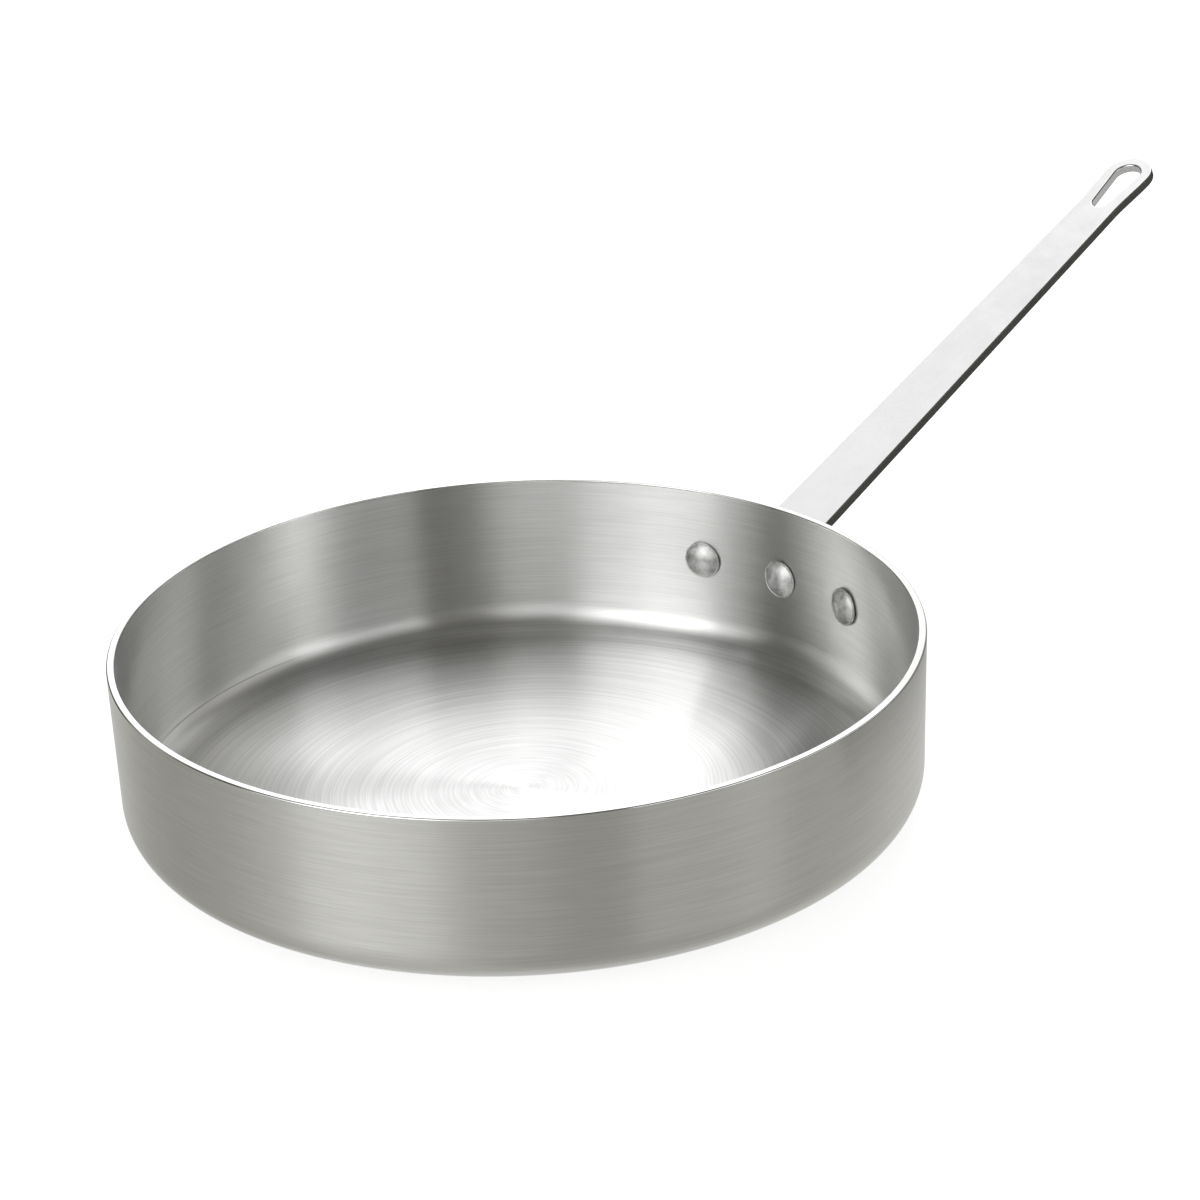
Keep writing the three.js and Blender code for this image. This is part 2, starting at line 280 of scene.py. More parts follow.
# outline of the strip as (across, along), anticlockwise from the plate's lower edge
def handleOutline(lay):
    h = handle
    plate, bar, loop = h["plateSteps"], h["barSteps"], h["loopSteps"]
    start, bow = lay["plateTop"] + h["shoulder"], 2 * h["shoulderSteps"]
    side = [h["plateMargin"] * (1 - math.cos(math.pi * i / plate)) for i in range(plate + 1)]
    for i in range(1, h["shoulderSteps"] + 1):
        side.append(lay["plateTop"] + h["shoulder"] * (1 - math.cos(math.pi * i / bow)))
    side += [start + (lay["waist"] - start) * i / bar for i in range(1, bar + 1)]
    side += [lay["waist"] + h["flare"] * i / loop for i in range(1, loop + 1)]
    for i in range(1, loop + 1):
        side.append(lay["loopCentre"] + lay["loopR"] * math.sin(quarter * i / loop))
    right = [Vector((halfWidth(lay, s), s)) for s in side]
    left = [Vector((-p.x, p.y)) for p in reversed(right[:-1])]
    lower = [Vector((right[0].x * (2 * i / plate - 1), 0)) for i in range(1, plate)]
    return right + left + lower


def holeOutline(lay):
    h = handle
    wide, narrow = lay["loopCentre"], lay["loopCentre"] - h["holeCentres"]
    spread = math.acos((h["holeWide"] - h["holeNarrow"]) / h["holeCentres"])
    wideSteps, narrowSteps = h["holeSteps"]
    points = []
    for centre, radius, start, end, steps in (
            (wide, h["holeWide"], spread - math.pi, math.pi - spread, wideSteps),
            (narrow, h["holeNarrow"], math.pi - spread, math.pi + spread, narrowSteps)):
        for i in range(steps + 1):
            a = start + (end - start) * i / steps
            points.append(Vector((radius * math.sin(a), centre + radius * math.cos(a))))
    return points


def outwardNormals(loop):
    out = []
    for i in range(len(loop)):
        run = loop[(i + 1) % len(loop)] - loop[i - 1]
        out.append(Vector((run.y, -run.x)).normalized())
    return out


def inside(point, loop):
    odd = False
    for a, b in zip(loop, loop[1:] + loop[:1]):
        if (a.y > point.y) != (b.y > point.y):
            if point.x < (b.x - a.x) * (point.y - a.y) / (b.y - a.y) + a.x:
                odd = not odd
    return odd


# points inside the plate and the bend, so that they can curve
def plateGrid(lay):
    h, grid = handle, []
    reach = lay["bendEnd"] + h["gridPastBend"]
    rows = int(reach / h["plateGrid"])
    for j in range(1, rows + 1):
        v = reach * j / (rows + 1)
        w = halfWidth(lay, v) - h["gridInset"]
        count = max(2, int(2 * w / h["plateGrid"]))
        grid += [Vector((w * (2 * i / count - 1), v)) for i in range(count + 1)]
    return [g for g in grid if g.y > h["edge"] + h["gridFoot"]]


# the flat face of the strip as points and triangles, with the places of both outlines in it
def triangulateFace(rim, holeRim, grid):
    loops = [list(range(len(rim))), list(range(len(rim), len(rim) + len(holeRim)))]
    edges = [(loop[i], loop[(i + 1) % len(loop)]) for loop in loops for i in range(len(loop))]
    flat, _, found, origins, _, _ = delaunay_2d_cdt(rim + holeRim + grid, edges, [], 1, 1e-5)
    triangles = []
    for t in found:
        middle = sum((flat[i] for i in t), Vector((0, 0))) / 3
        if not inside(middle, holeRim):
            triangles.append(t)
    place = {old: new for new, olds in enumerate(origins) for old in olds}
    return flat, triangles, [[place[i] for i in loop] for loop in loops]


def buildHandle(material):
    h, lay = handle, layOutHandle()
    thick, steps, nudge = h["thickness"], h["edgeSteps"], 0.01
    outline, hole = handleOutline(lay), holeOutline(lay)
    outFacing, holeFacing = outwardNormals(outline), outwardNormals(hole)
    rim = [p - n * h["edge"] for p, n in zip(outline, outFacing)]
    holeRim = [p - n * h["holeEdge"] for p, n in zip(hole, holeFacing)]
    flat, triangles, loops = triangulateFace(rim, holeRim, plateGrid(lay))
    points, normals, faces, punched = [], [], [], []

    def put(across, along, depth, facing, mark=0.0):
        here = foldStrip(lay, along, across, depth)
        du = foldStrip(lay, along, across + nudge, depth) - here
        dv = foldStrip(lay, along + nudge, across, depth) - here
        under = du.cross(dv).normalized()
        points.append(here)
        normals.append(du.normalized() * facing[0] + dv.normalized() * facing[1] + under * facing[2])
        punched.append(mark)
        return len(points) - 1

    faceUp = [put(p.x, p.y, 0, (0, 0, -1)) for p in flat]
    faceDown = [put(p.x, p.y, thick, (0, 0, 1)) for p in flat]
    for t in triangles:
        faces.append(tuple(faceUp[i] for i in reversed(t)))
        faces.append(tuple(faceDown[i] for i in t))
    # rounded shoulders at the face and the back, with a sharp sheared side between them
    for loop, line, facing, edge, turn, mark in (
            (loops[0], outline, outFacing, h["edge"], h["edgeTurn"], 0.0),
            (loops[1], hole, holeFacing, h["holeEdge"], h["holeTurn"], 1.0)):
        radius = edge / math.sin(turn)
        rolls = [(turn * k / steps, -1) for k in range(1, steps + 1)]
        rolls += [(quarter, -1), (quarter, 1)]
        rolls += [(turn * k / steps, 1) for k in range(steps, 0, -1)]
        rings = [[faceUp[i] for i in loop]]
        for angle, side in rolls:
            c, s = math.cos(angle), math.sin(angle)
            reached, sheared = min(angle, turn), angle > turn
            inset = edge - radius * math.sin(reached)
            depth = radius * (1 - math.cos(reached)) + (nudge if sheared else 0)
            worn = mark if sheared else 0.0
            ring = []
            for p, n in zip(line, facing):
                q = p - n * inset
                across = (n.x * s, n.y * s, c * side)
                ring.append(put(q.x, q.y, depth if side < 0 else thick - depth, across, worn))
            rings.append(ring)
        rings.append([faceDown[i] for i in loop])
        count = len(line)
        for upper, lower in zip(rings, rings[1:]):
            for i in range(count):
                j = (i + 1) % count
                faces.append((upper[j], lower[j], lower[i], upper[i]))
    obj = makeMesh("handleBar", points, normals, faces)
    obj.data.attributes.new("punched", "FLOAT", "POINT").data.foreach_set("value", punched)
    return dress(obj, "handle", material)


# node helpers
def addNode(tree, kind, at, **values):
    node = tree.nodes.new(kind)
    node.location = at
    for key, value in values.items():
        setattr(node, key, value)
    return node


# a number or colour is set on the socket, an output is linked to it
def feed(tree, socket, value):
    if isinstance(value, (int, float)):
        socket.default_value = value
    elif isinstance(value, tuple):
        socket.default_value = (*value, 1)
    else:
        tree.links.new(value, socket)


def combine(tree, at, operation, *values):
    node = addNode(tree, "ShaderNodeMath", at, operation=operation)
    for socket, value in zip(node.inputs, values):
        feed(tree, socket, value)
    return node.outputs[0]


def remap(tree, at, value, low, high, fromLow=0.0, fromHigh=1.0, soft=False):
    node = addNode(tree, "ShaderNodeMapRange", at)
    node.interpolation_type = "SMOOTHSTEP" if soft else "LINEAR"
    node.inputs["From Min"].default_value = fromLow
    node.inputs["From Max"].default_value = fromHigh
    node.inputs["To Min"].default_value = low
    node.inputs["To Max"].default_value = high
    tree.links.new(value, node.inputs["Value"])
    return node.outputs["Result"]


def mixColours(tree, at, factor, low, high):
    mix = addNode(tree, "ShaderNodeMix", at, data_type="RGBA")
    for socket, value in ((mix.inputs[0], factor), (mix.inputs[6], low), (mix.inputs[7], high)):
        feed(tree, socket, value)
    return mix.outputs[2]


def mixValues(tree, at, factor, low, high):
    mix = addNode(tree, "ShaderNodeMix", at, data_type="FLOAT")
    for socket, value in ((mix.inputs[0], factor), (mix.inputs[2], low), (mix.inputs[3], high)):
        feed(tree, socket, value)
    return mix.outputs[0]


# object coordinates, split, and the turn about Z in degrees
def findPlace(tree, at):
    coord = addNode(tree, "ShaderNodeTexCoord", (at[0] - 400, at[1]))
    where = addNode(tree, "ShaderNodeSeparateXYZ", (at[0] - 200, at[1]))
    tree.links.new(coord.outputs["Object"], where.inputs[0])
    turn = combine(tree, at, "ARCTAN2", where.outputs["Y"], where.outputs["X"])
    degrees = combine(tree, (at[0] + 150, at[1]), "MULTIPLY", turn, 180 / math.pi)
    return coord.outputs["Object"], where.outputs["Z"], degrees


def newGroup(name, inputs, outputs):
    tree = bpy.data.node_groups.new(name, "ShaderNodeTree")
    for label, value in inputs.items():
        socket = tree.interface.new_socket(label, in_out="INPUT", socket_type="NodeSocketFloat")
        socket.default_value = value
    for label in outputs:
        tree.interface.new_socket(label, in_out="OUTPUT", socket_type="NodeSocketFloat")
    given = addNode(tree, "NodeGroupInput", (-1200, 0))
    return tree, given, addNode(tree, "NodeGroupOutput", (900, 0))


def useGroup(tree, group, at, **values):
    node = addNode(tree, "ShaderNodeGroup", at, node_tree=group)
    for key, value in values.items():
        node.inputs[key.replace("_", " ")].default_value = value
    return node


# marks left by turning on a lathe: fine rings about the object's Z axis
def makeTurnedLines():
    tree, given, out = newGroup(
        "turnedLines", {"Lines per metre": 900.0, "Break up": 3.0}, ("Fine", "Broad"))
    link = tree.links.new
    coord = addNode(tree, "ShaderNodeTexCoord", (-1200, -300))
    level = addNode(tree, "ShaderNodeVectorMath", (-1000, -200), operation="MULTIPLY")
    level.inputs[1].default_value = (1, 1, 0)
    link(coord.outputs["Object"], level.inputs[0])
    radius = addNode(tree, "ShaderNodeVectorMath", (-800, -100), operation="LENGTH")
    link(level.outputs[0], radius.inputs[0])
    around = addNode(tree, "ShaderNodeVectorMath", (-800, -300), operation="NORMALIZE")
    link(level.outputs[0], around.inputs[0])
    height = addNode(tree, "ShaderNodeSeparateXYZ", (-1000, -500))
    link(coord.outputs["Object"], height.inputs[0])
    # radius plus height climbs steadily over floor, corner and wall
    path = combine(tree, (-600, -200), "ADD", radius.outputs["Value"], height.outputs["Z"])
    broken = addNode(tree, "ShaderNodeVectorMath", (-600, -400), operation="SCALE")
    link(around.outputs[0], broken.inputs[0])
    link(given.outputs["Break up"], broken.inputs["Scale"])
    flatAround = addNode(tree, "ShaderNodeSeparateXYZ", (-420, -400))
    link(broken.outputs[0], flatAround.inputs[0])
    for label, share, y in (("Fine", 1.0, 0), ("Broad", 0.16, -300)):
        rate = combine(tree, (-420, y), "MULTIPLY", given.outputs["Lines per metre"], share)
        spot = addNode(tree, "ShaderNodeCombineXYZ", (-60, y))
        link(flatAround.outputs["X"], spot.inputs["X"])
        link(flatAround.outputs["Y"], spot.inputs["Y"])
        link(combine(tree, (-240, y), "MULTIPLY", path, rate), spot.inputs["Z"])
        noise = addNode(tree, "ShaderNodeTexNoise", (150, y))
        noise.inputs["Scale"].default_value = 1.0
        noise.inputs["Detail"].default_value = 1.0
        link(spot.outputs[0], noise.inputs["Vector"])
        link(noise.outputs["Fac"], out.inputs[label])
    return tree


# wear of a used metal surface: cloudy smudges and tiny pits
def makeHandledMetal():
    tree, given, out = newGroup(
        "handledMetal", {"Smudge scale": 22.0, "Pit scale": 260.0}, ("Smudge", "Pits"))
    link = tree.links.new
    coord = addNode(tree, "ShaderNodeTexCoord", (-900, 0))
    smudge = addNode(tree, "ShaderNodeTexNoise", (-500, 150))
    smudge.inputs["Detail"].default_value = 5.0
    smudge.inputs["Roughness"].default_value = 0.62
    link(coord.outputs["Object"], smudge.inputs["Vector"])
    link(given.outputs["Smudge scale"], smudge.inputs["Scale"])
    link(smudge.outputs["Fac"], out.inputs["Smudge"])
    pits = addNode(tree, "ShaderNodeTexVoronoi", (-500, -200))
    link(coord.outputs["Object"], pits.inputs["Vector"])
    link(given.outputs["Pit scale"], pits.inputs["Scale"])
    few = remap(tree, (-200, -200), pits.outputs["Distance"], 1.0, 0.0, 0.05, 0.11)
    link(few, out.inputs["Pits"])
    return tree


turnedLines = makeTurnedLines()
handledMetal = makeHandledMetal()


def newMetal(name):
    material = bpy.data.materials.new(name)
    material.use_nodes = True
    tree = material.node_tree
    shader = tree.nodes["Principled BSDF"]
    shader.location = (600, 0)
    shader.inputs["Metallic"].default_value = 1.0
    return material, tree, shader


def addBump(tree, height, strength, shader):
    bump = addNode(tree, "ShaderNodeBump", (150, -350))
    bump.inputs["Strength"].default_value = strength
    bump.inputs["Distance"].default_value = 0.001
    tree.links.new(height, bump.inputs["Height"])
    tree.links.new(bump.outputs["Normal"], shader.inputs["Normal"])


# heights and widths in metres, from and to of the tool mark in degrees from the handle
bodyFinish = {
    "dark": (0.685, 0.685, 0.675), "light": (0.755, 0.755, 0.745),
    "linesPerMetre": 1900.0, "breakUp": 5.0, "lineRange": (0.36, 0.64),
    "lineShare": 0.8, "streakShare": 0.2,
    "floorDark": (0.74, 0.74, 0.74), "floorLight": (0.87, 0.87, 0.87),
    "floorLines": 1250.0, "floorBreakUp": 1.2, "ringRange": (0.35, 0.65),
    "floorFrom": 0.003, "floorTo": 0.010,
    "roughLow": 0.275, "roughHigh": 0.285, "wearRange": (0.3, 0.7),
    "cloudShare": 0.6, "grainShare": 0.4, "smudgeScale": 14.0, "pitScale": 150.0,
    "rimFrom": 0.0666, "rimTo": 0.0669, "rimRough": 0.13,
    "bump": 0.006, "pitDepth": 0.7, "anisotropy": 0.97,
    "toolMark": {
        "height": 0.009, "width": 0.0003, "from": 80, "to": 120, "depth": 0.6,
        "fadeFrom": 0.6, "faintest": 0.3, "patchRange": (0.4, 0.55),
    },
}


# a thin line left by the tool above the corner, on one side only
def scoreToolMark(tree, z, degrees, patches):
    m = bodyFinish["toolMark"]
    middle, half = (m["from"] + m["to"]) / 2, (m["to"] - m["from"]) / 2
    above = combine(tree, (-850, -800), "SUBTRACT", z, m["height"])
    off = combine(tree, (-700, -800), "ABSOLUTE", above)
    thin = remap(tree, (-500, -800), off, 1.0, 0.0, 0.0, m["width"])
    turned = combine(tree, (-850, -1100), "SUBTRACT", degrees, middle)
    aside = combine(tree, (-700, -1100), "ABSOLUTE", turned)
    stretch = remap(tree, (-500, -1100), aside, 1.0, 0.0, half * m["fadeFrom"], half)
    patchy = remap(tree, (-500, -950), patches, m["faintest"], 1.0, *m["patchRange"])
    line = combine(tree, (-300, -800), "MULTIPLY", thin, stretch)
    scored = combine(tree, (-200, -800), "MULTIPLY", line, patchy)
    lost = combine(tree, (-100, -800), "MULTIPLY", scored, m["depth"])
    return combine(tree, (0, -800), "SUBTRACT", 1.0, lost)


def makeBodyFinish():
    f = bodyFinish
    material, tree, shader = newMetal("turnedAluminium")
    link = tree.links.new
    lines = useGroup(tree, turnedLines, (-1100, 300),
                     Lines_per_metre=f["linesPerMetre"], Break_up=f["breakUp"])
    rings = useGroup(tree, turnedLines, (-1100, 600),
                     Lines_per_metre=f["floorLines"], Break_up=f["floorBreakUp"])
    wear = useGroup(tree, handledMetal, (-1100, -200),
                    Smudge_scale=f["smudgeScale"], Pit_scale=f["pitScale"])
    _, z, degrees = findPlace(tree, (-1300, -600))
    # the floor was turned in long even rings, the wall polished in shorter strokes
    onFloor = remap(tree, (-700, -600), z, 1.0, 0.0, f["floorFrom"], f["floorTo"])
    strokes = combine(tree, (-700, 300), "MULTIPLY", lines.outputs["Fine"], f["lineShare"])
    streaks = combine(tree, (-700, 150), "MULTIPLY", lines.outputs["Broad"], f["streakShare"])
    polish = combine(tree, (-500, 300), "ADD", strokes, streaks)
    tone = remap(tree, (-350, 300), polish, 0, 1, *f["lineRange"])
    ringTone = remap(tree, (-350, 600), rings.outputs["Fine"], 0, 1, *f["ringRange"])
    wallColour = mixColours(tree, (-100, 300), tone, f["dark"], f["light"])
    floorColour = mixColours(tree, (-100, 600), ringTone, f["floorDark"], f["floorLight"])
    turned = mixColours(tree, (100, 450), onFloor, wallColour, floorColour)
    shade = addNode(tree, "ShaderNodeVectorMath", (300, 450), operation="SCALE")
    link(turned, shade.inputs[0])
    link(scoreToolMark(tree, z, degrees, lines.outputs["Broad"]), shade.inputs["Scale"])
    link(shade.outputs[0], shader.inputs["Base Color"])
    # satin all over, but the rim was ground and polished finer
    cloud = combine(tree, (-700, -100), "MULTIPLY", wear.outputs["Smudge"], f["cloudShare"])
    grain = combine(tree, (-700, -250), "MULTIPLY", lines.outputs["Fine"], f["grainShare"])
    worn = combine(tree, (-500, -150), "ADD", cloud, grain)
    satin = remap(tree, (-350, -150), worn, f["roughLow"], f["roughHigh"], *f["wearRange"])
    onRim = remap(tree, (-350, -600), z, 0.0, 1.0, f["rimFrom"], f["rimTo"])
    gloss = mixValues(tree, (0, -150), onRim, satin, f["rimRough"])
    link(gloss, shader.inputs["Roughness"])
    relief = mixValues(tree, (-700, -350), onFloor, lines.outputs["Fine"], rings.outputs["Fine"])
    dents = combine(tree, (-700, -500), "MULTIPLY", wear.outputs["Pits"], f["pitDepth"])
    addBump(tree, combine(tree, (-500, -400), "SUBTRACT", relief, dents), f["bump"], shader)
    # gloss spreads across the turned lines
    shader.inputs["Anisotropic"].default_value = f["anisotropy"]
    shader.inputs["Anisotropic Rotation"].default_value = 0.25
    tangent = addNode(tree, "ShaderNodeTangent", (300, -550), direction_type="RADIAL", axis="Z")
    link(tangent.outputs["Tangent"], shader.inputs["Tangent"])
    return material


handleFinish = {
    "dark": (0.55, 0.55, 0.55), "light": (0.60, 0.60, 0.60), "cloudRange": (0.3, 0.7),
    "roughLow": 0.16, "roughHigh": 0.23, "bump": 0.01, "smudgeScale": 60.0, "pitScale": 420.0,
    "punched": (0.86, 0.86, 0.85), "punchedRough": 0.4, "punchedMetal": 0.1,
}


def makeHandleFinish():
    f = handleFinish
    material, tree, shader = newMetal("platedSteel")
    link = tree.links.new
    wear = useGroup(tree, handledMetal, (-900, 0),
                    Smudge_scale=f["smudgeScale"], Pit_scale=f["pitScale"])
    cloud = remap(tree, (-600, 200), wear.outputs["Smudge"], 0, 1, *f["cloudRange"])
    plated = mixColours(tree, (-300, 200), cloud, f["dark"], f["light"])
    # the wall of the hanging hole is torn bright metal
    mask = addNode(tree, "ShaderNodeAttribute", (-900, -300), attribute_name="punched")
    torn = mask.outputs["Fac"]
    link(mixColours(tree, (0, 200), torn, plated, f["punched"]), shader.inputs["Base Color"])
    satin = remap(tree, (-300, -50), cloud, f["roughLow"], f["roughHigh"])
    coarser = combine(tree, (-300, -250), "MULTIPLY", torn, f["punchedRough"])
    link(combine(tree, (0, -100), "ADD", satin, coarser), shader.inputs["Roughness"])
    link(remap(tree, (0, 0), torn, 1.0, f["punchedMetal"]), shader.inputs["Metallic"])
    addBump(tree, wear.outputs["Smudge"], f["bump"], shader)
    return material


rivetFinish = {
    "dark": (0.49, 0.49, 0.48), "light": (0.75, 0.75, 0.74), "blotchRange": (0.36, 0.64),
    "roughLow": 0.38, "roughHigh": 0.52, "bump": 0.05, "smudgeScale": 480.0, "pitScale": 900.0,
}


def makeRivetFinish():
    f = rivetFinish
    material, tree, shader = newMetal("struckAluminium")
    link = tree.links.new
    wear = useGroup(tree, handledMetal, (-900, 0),
                    Smudge_scale=f["smudgeScale"], Pit_scale=f["pitScale"])
    blotch = remap(tree, (-600, 100), wear.outputs["Smudge"], 0, 1, *f["blotchRange"])
    link(mixColours(tree, (-300, 200), blotch, f["dark"], f["light"]), shader.inputs["Base Color"])
    satin = remap(tree, (-300, -50), blotch, f["roughLow"], f["roughHigh"])
    link(satin, shader.inputs["Roughness"])
    addBump(tree, wear.outputs["Smudge"], f["bump"], shader)
    return material


buildPanBody(makeBodyFinish())
print("pan body spun")
buildHandle(makeHandleFinish())
print("handle folded")
buildRivets(makeRivetFinish(), handle["thickness"])
print("rivets set")


# camera solved from the rim and base of the photographed pan
view = {
    "place": (-0.9640, -0.9896, 0.6927), "heading": math.radians(44.438),
    "down": math.radians(23.944), "roll": -0.0442, "lens": 122.115, "sensor": 36,
}


def placeCamera():
    v = view
    level = Vector((math.cos(v["heading"]), math.sin(v["heading"]), 0))
    ahead = level * math.cos(v["down"]) - Vector((0, 0, math.sin(v["down"])))
    right = ahead.cross(Vector((0, 0, 1))).normalized()
    up = right.cross(ahead)
    c, s = math.cos(v["roll"]), math.sin(v["roll"])
    right, up = right * c + up * s, up * c - right * s
    data = bpy.data.cameras.new("photoCamera")
    data.sensor_width = v["sensor"]
    data.lens = v["lens"]
    camera = bpy.data.objects.new("photoCamera", data)
    facing = Matrix((right, up, -ahead)).transposed().to_4x4()
    camera.matrix_world = Matrix.Translation(v["place"]) @ facing
    scene.collection.objects.link(camera)
    scene.camera = camera


placeCamera()
print("camera placed")


studio = {
    "worldForLight": 0.55, "floorSize": 6.0, "floorDrop": 0.0002, "floorTone": 0.5, "floorGlow": 0.76,
    "softBox": {"at": (0.9, 0.9, 1.3), "aim": (0, 0, 0.03), "size": (1.6, 1.2), "power": 14.0},
}


def seenDirectly(tree, at):
    path = addNode(tree, "ShaderNodeLightPath", (at[0] - 400, at[1]))
    rest = combine(tree, (at[0] - 200, at[1] - 150), "MAXIMUM",
                   path.outputs["Is Glossy Ray"], path.outputs["Is Transmission Ray"])
    return combine(tree, at, "MAXIMUM", path.outputs["Is Camera Ray"], rest)


# white for what the camera and the metal see, softer for the light it gives
def makeWorld():
    world = bpy.data.worlds.new("whiteStudio")
    scene.world = world
    world.use_nodes = True
    tree = world.node_tree
    strength = remap(tree, (-300, 0), seenDirectly(tree, (-500, 0)), studio["worldForLight"], 1.0)
    back = tree.nodes["Background"]
    back.inputs["Color"].default_value = (1, 1, 1, 1)
    tree.links.new(strength, back.inputs["Strength"])


# a stage object with an empty material, ready for its nodes
def newStage(name, points, faces, materialName):
    mesh = bpy.data.meshes.new(name)
    mesh.from_pydata(points, [], faces)
    obj = bpy.data.objects.new(name, mesh)
    scene.collection.objects.link(obj)
    material = bpy.data.materials.new(materialName)
    material.use_nodes = True
    tree = material.node_tree
    tree.nodes.remove(tree.nodes["Principled BSDF"])
    mesh.materials.append(material)
    return obj, material, tree


def makeFloor():
    half, low = studio["floorSize"] / 2, -studio["floorDrop"]
    corners = [(x * half, y * half, low) for x, y in ((-1, -1), (1, -1), (1, 1), (-1, 1))]
    floor, _, tree = newStage("studioFloor", corners, [(0, 1, 2, 3)], "whiteFloor")
    floor.visible_glossy = False  # the metal sees the tent's bowl instead
    link = tree.links.new
    matte = addNode(tree, "ShaderNodeBsdfDiffuse", (-300, 100))
    matte.inputs["Color"].default_value = (*[studio["floorTone"]] * 3, 1)
    glow = addNode(tree, "ShaderNodeEmission", (-200, -100))
    seen = seenDirectly(tree, (-600, -150))
    link(combine(tree, (-400, -150), "MULTIPLY", seen, studio["floorGlow"]), glow.inputs["Strength"])
    both = addNode(tree, "ShaderNodeAddShader", (0, 0))
    link(matte.outputs[0], both.inputs[0])
    link(glow.outputs[0], both.inputs[1])
    # clear from below, so that the base can be looked at
    side = addNode(tree, "ShaderNodeNewGeometry", (0, 250))
    clear = addNode(tree, "ShaderNodeBsdfTransparent", (0, -150))
    either = addNode(tree, "ShaderNodeMixShader", (200, 0))
    link(side.outputs["Backfacing"], either.inputs[0])
    link(both.outputs[0], either.inputs[1])
    link(clear.outputs[0], either.inputs[2])
    link(either.outputs[0], tree.nodes["Material Output"].inputs["Surface"])


def makeSoftBox():
    box = studio["softBox"]
    data = bpy.data.lights.new("overBack", "AREA")
    data.shape = "RECTANGLE"
    data.size, data.size_y = box["size"]
    data.energy = box["power"]
    lamp = bpy.data.objects.new("overBack", data)
    lamp.location = box["at"]
    shining = Vector(box["aim"]) - Vector(box["at"])
    lamp.rotation_euler = shining.to_track_quat("-Z", "Y").to_euler()
    lamp.visible_camera = False
    lamp.visible_glossy = False
    scene.collection.objects.link(lamp)


# cards and panels round the pan, as the metal sees them
# span in degrees from the handle, anticlockwise from above, and soft for the width of its two edges
# low and high are sines of the angle above the table, foot is what the table shows of a panel
tent = {
    "radius": 8.0, "turns": 96, "rings": 48,
    "wall": 0.29, "ceiling": 0.035, "ceilingRange": (0.45, 0.85), "table": 0.405, "horizon": 0.06,
    "panelTop": 0.15, "boxFoot": 0.1, "boxTop": (0.1, 0.05),
    "dimTint": (1.0, 0.985, 0.90), "dimRange": (0.25, 1.1),
    "panels": {
        "keyLeft": {"span": (150, 163), "soft": (14, 8), "high": 0.75, "glow": 1.00, "foot": 0.00},
        "keyMid": {"span": (163, 186), "soft": (8, 8), "high": 0.75, "glow": 2.78, "foot": 0.00},
        "keyRight": {"span": (186, 202), "soft": (8, 20), "high": 0.75, "glow": 2.17, "foot": 0.00},
        "keyOnTable": {"span": (147, 206), "soft": (50, 50), "high": 0.40, "glow": 0.00, "foot": 0.15},
        "frontFill": {"span": (199, 230), "soft": (14, 14), "high": 0.60, "glow": 0.77, "foot": -0.03},
        "frontGap": {"span": (233, 253.3), "soft": (10, 1), "high": 0.60, "glow": -0.03, "foot": -0.02},
        "rightNear": {"span": (253.3, 281), "soft": (1, 14), "high": 0.55, "glow": 0.88, "foot": 0.00},
        "rightBox": {"span": (281, 297), "soft": (14, 10), "high": 0.50, "glow": 1.60, "foot": 0.00},
        "rightFar": {"span": (300, 340), "soft": (12, 30), "high": 0.55, "glow": 0.48, "foot": 0.00},
        "leftDark": {"span": (72, 97), "soft": (12, 10), "high": 0.40, "glow": -0.26, "foot": 0.00},
        "leftBox": {"span": (99, 115), "soft": (10, 10), "high": 0.60, "glow": 0.09, "foot": 0.00},
        "leftGap": {"span": (120, 147), "soft": (10, 10), "high": 0.60, "glow": -0.20, "foot": 0.05},
        "backDrop": {"span": (22, 63), "soft": (14, 12), "high": 0.62, "glow": 1.05, "foot": 0.10},
        "backLight": {"span": (46, 61), "soft": (14, 8), "high": 0.62, "glow": 0.39, "foot": 0.00},
        "backSkirt": {"span": (-20, 84), "soft": (60, 34), "high": 0.40, "glow": 0.00, "foot": 0.29},
    },
    "boxes": {
        "backBox": {"span": (56, 85), "soft": (16, 10), "low": 0.55, "high": 0.97, "glow": 1.39},
        "tallBox": {"span": (32, 54), "soft": (10, 14), "low": 0.58, "high": 0.99, "glow": 2.10},
        "besideTall": {"span": (8, 32), "soft": (14, 10), "low": 0.54, "high": 0.95, "glow": 2.80},
        "overhead": {"span": (-181, 181), "soft": (1, 1), "low": 0.97, "high": 1.20, "glow": 0.26},
    },
    "darkCard": {
        "span": (-62, 26), "near": 0.25, "far": 1.6, "lift": 0.0004, "steps": 20, "within": 2.0,
        "tone": 0.09, "endTone": 0.02, "endRange": (-6, 8),
    },
}


# a dome over the pan and a bowl under it, seen by the metal alone
def tentMesh():
    radius, turns, rings = tent["radius"], tent["turns"], tent["rings"]
    points, faces = [], []
    for j in range(rings + 1):
        a = math.pi * j / rings
        r, z = radius * math.sin(a), radius * math.cos(a)
        for i in range(turns):
            b = 2 * math.pi * i / turns
            points.append((r * math.cos(b), r * math.sin(b), z))
    for j in range(rings):
        low, high = j * turns, (j + 1) * turns
        for i in range(turns):
            k = (i + 1) % turns
            faces.append((low + i, high + i, high + k, low + k))
    # the dark card lies on the table beside the handle
    card = tent["darkCard"]
    first, steps, (start, end) = len(points), card["steps"], card["span"]
    for i in range(steps + 1):
        b = math.radians(start + (end - start) * i / steps)
        for r in (card["near"], card["far"]):
            points.append((r * math.cos(b), r * math.sin(b), card["lift"]))
    for i in range(first, first + 2 * steps, 2):
        faces.append((i, i + 1, i + 3, i + 2))
    return points, faces


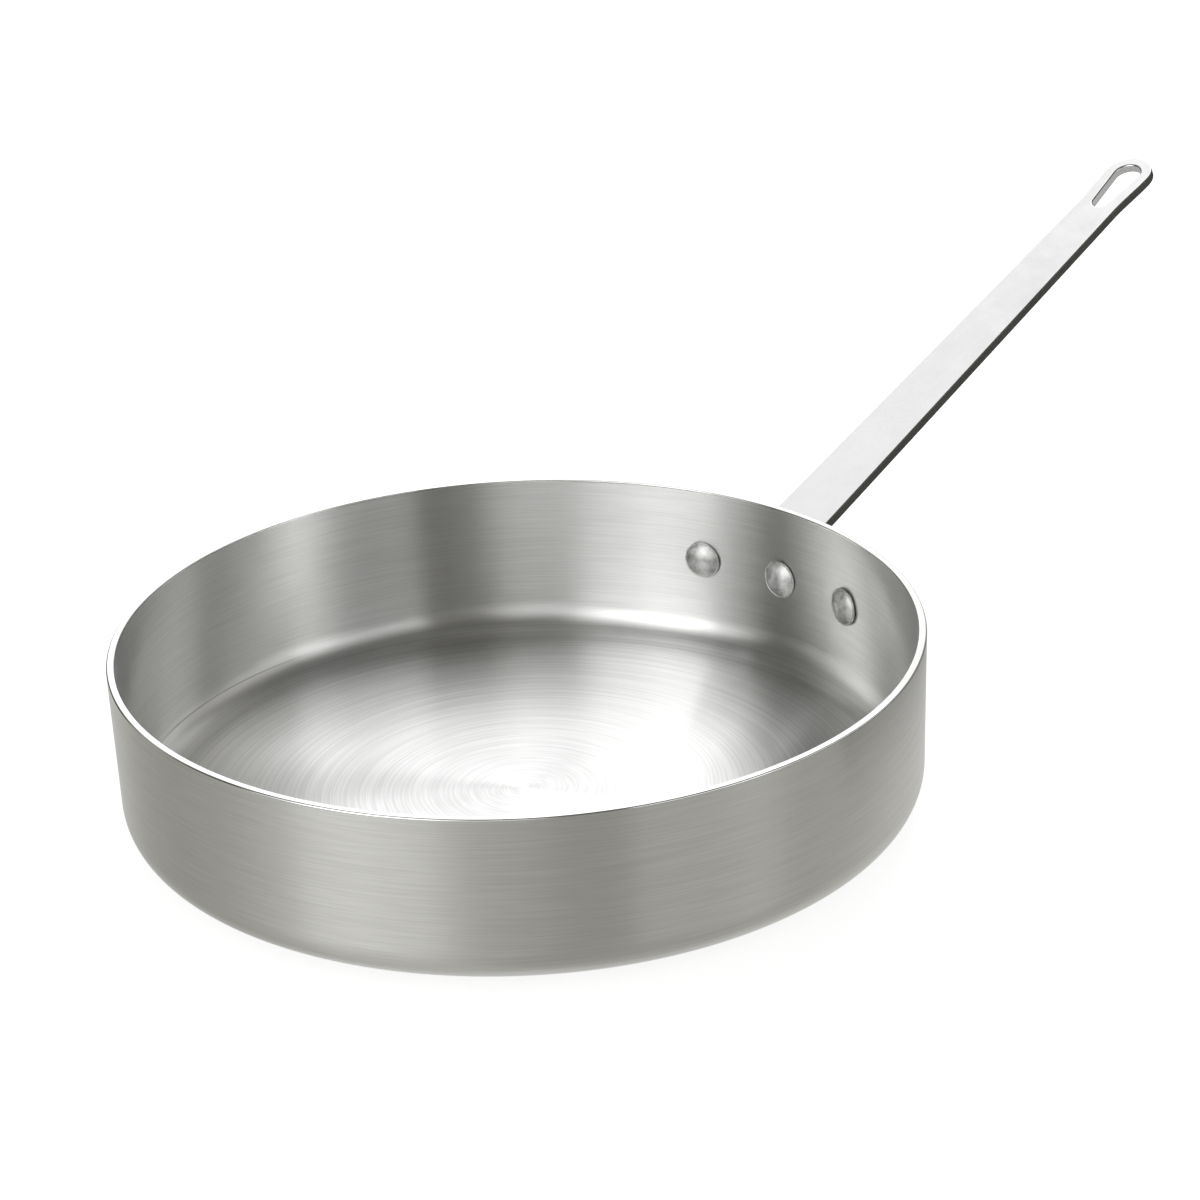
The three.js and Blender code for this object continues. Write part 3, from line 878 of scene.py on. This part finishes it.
def makeTent():
    t, card = tent, tent["darkCard"]
    obj, material, tree = newStage("studioTent", *tentMesh(), "tentCards")
    obj.visible_camera = False
    obj.visible_diffuse = False
    obj.visible_shadow = False
    material.cycles.emission_sampling = "NONE"
    link = tree.links.new
    place, z, degrees = findPlace(tree, (-1800, 0))
    rise = combine(tree, (-1800, -200), "DIVIDE", z, t["radius"])  # sine of the angle above the table

    def fadeIn(at, value, low, high):
        return remap(tree, at, value, 0, 1, low, high, soft=True)

    def fadeOut(at, value, low, high):
        return remap(tree, at, value, 1, 0, low, high, soft=True)

    def across(panel, x, y):
        start, end = panel["span"]
        first, last = (s / 2 for s in panel["soft"])
        middle, half = (start + end) / 2, (end - start) / 2
        offset = combine(tree, (x - 320, y), "SUBTRACT", degrees, middle)
        aside = combine(tree, (x - 180, y), "WRAP", offset, 180, -180)
        begun = fadeIn((x, y), aside, -half - first, first - half)
        going = fadeOut((x, y - 60), aside, half - last, half + last)
        return combine(tree, (x + 180, y), "MULTIPLY", begun, going)

    room = remap(tree, (-1000, 900), rise, t["wall"], t["ceiling"], *t["ceilingRange"])
    table = t["table"]
    y = 700
    for panel in t["panels"].values():
        band = across(panel, -1250, y)
        top, soft = panel["high"], t["panelTop"]
        tall = fadeOut((-1000, y - 100), rise, top - soft, top + soft)
        shape = combine(tree, (-910, y), "MULTIPLY", band, tall)
        lit = combine(tree, (-820, y), "MULTIPLY", shape, panel["glow"])
        room = combine(tree, (-700, y), "ADD", room, lit)
        foot = combine(tree, (-700, y - 100), "MULTIPLY", band, panel["foot"])
        table = combine(tree, (-560, y), "ADD", foot, table)
        y -= 240
    overTable = fadeIn((-650, 300), rise, -t["horizon"], t["horizon"])
    shown = mixValues(tree, (-500, 200), overTable, table, room)
    for box in t["boxes"].values():
        low, high, soft, (under, over) = box["low"], box["high"], t["boxFoot"], t["boxTop"]
        above = fadeIn((-1050, y), rise, low - soft, low + soft)
        below = fadeOut((-1050, y - 100), rise, high - under, high + over)
        tall = combine(tree, (-900, y), "MULTIPLY", above, below)
        shape = combine(tree, (-800, y), "MULTIPLY", tall, across(box, -1250, y))
        lit = combine(tree, (-700, y), "MULTIPLY", shape, box["glow"])
        shown = combine(tree, (-500, y), "ADD", shown, lit)
        y -= 240
    # the card is the only part of the tent near the pan
    reach = addNode(tree, "ShaderNodeVectorMath", (-600, y), operation="LENGTH")
    link(place, reach.inputs[0])
    onCard = combine(tree, (-400, y), "LESS_THAN", reach.outputs["Value"], card["within"])
    cardTone = remap(tree, (-400, y - 150), degrees, card["tone"], card["endTone"], *card["endRange"])
    strength = mixValues(tree, (0, 0), onCard, shown, cardTone)
    glow = addNode(tree, "ShaderNodeEmission", (200, 0))
    link(strength, glow.inputs["Strength"])
    # the dim parts of the room are a little warmer than the lamps
    lamp = fadeIn((-200, -200), strength, *t["dimRange"])
    link(mixColours(tree, (0, -200), lamp, t["dimTint"], (1, 1, 1)), glow.inputs["Color"])
    link(glow.outputs[0], tree.nodes["Material Output"].inputs["Surface"])


makeWorld()
makeFloor()
makeSoftBox()
makeTent()
print("studio lit")
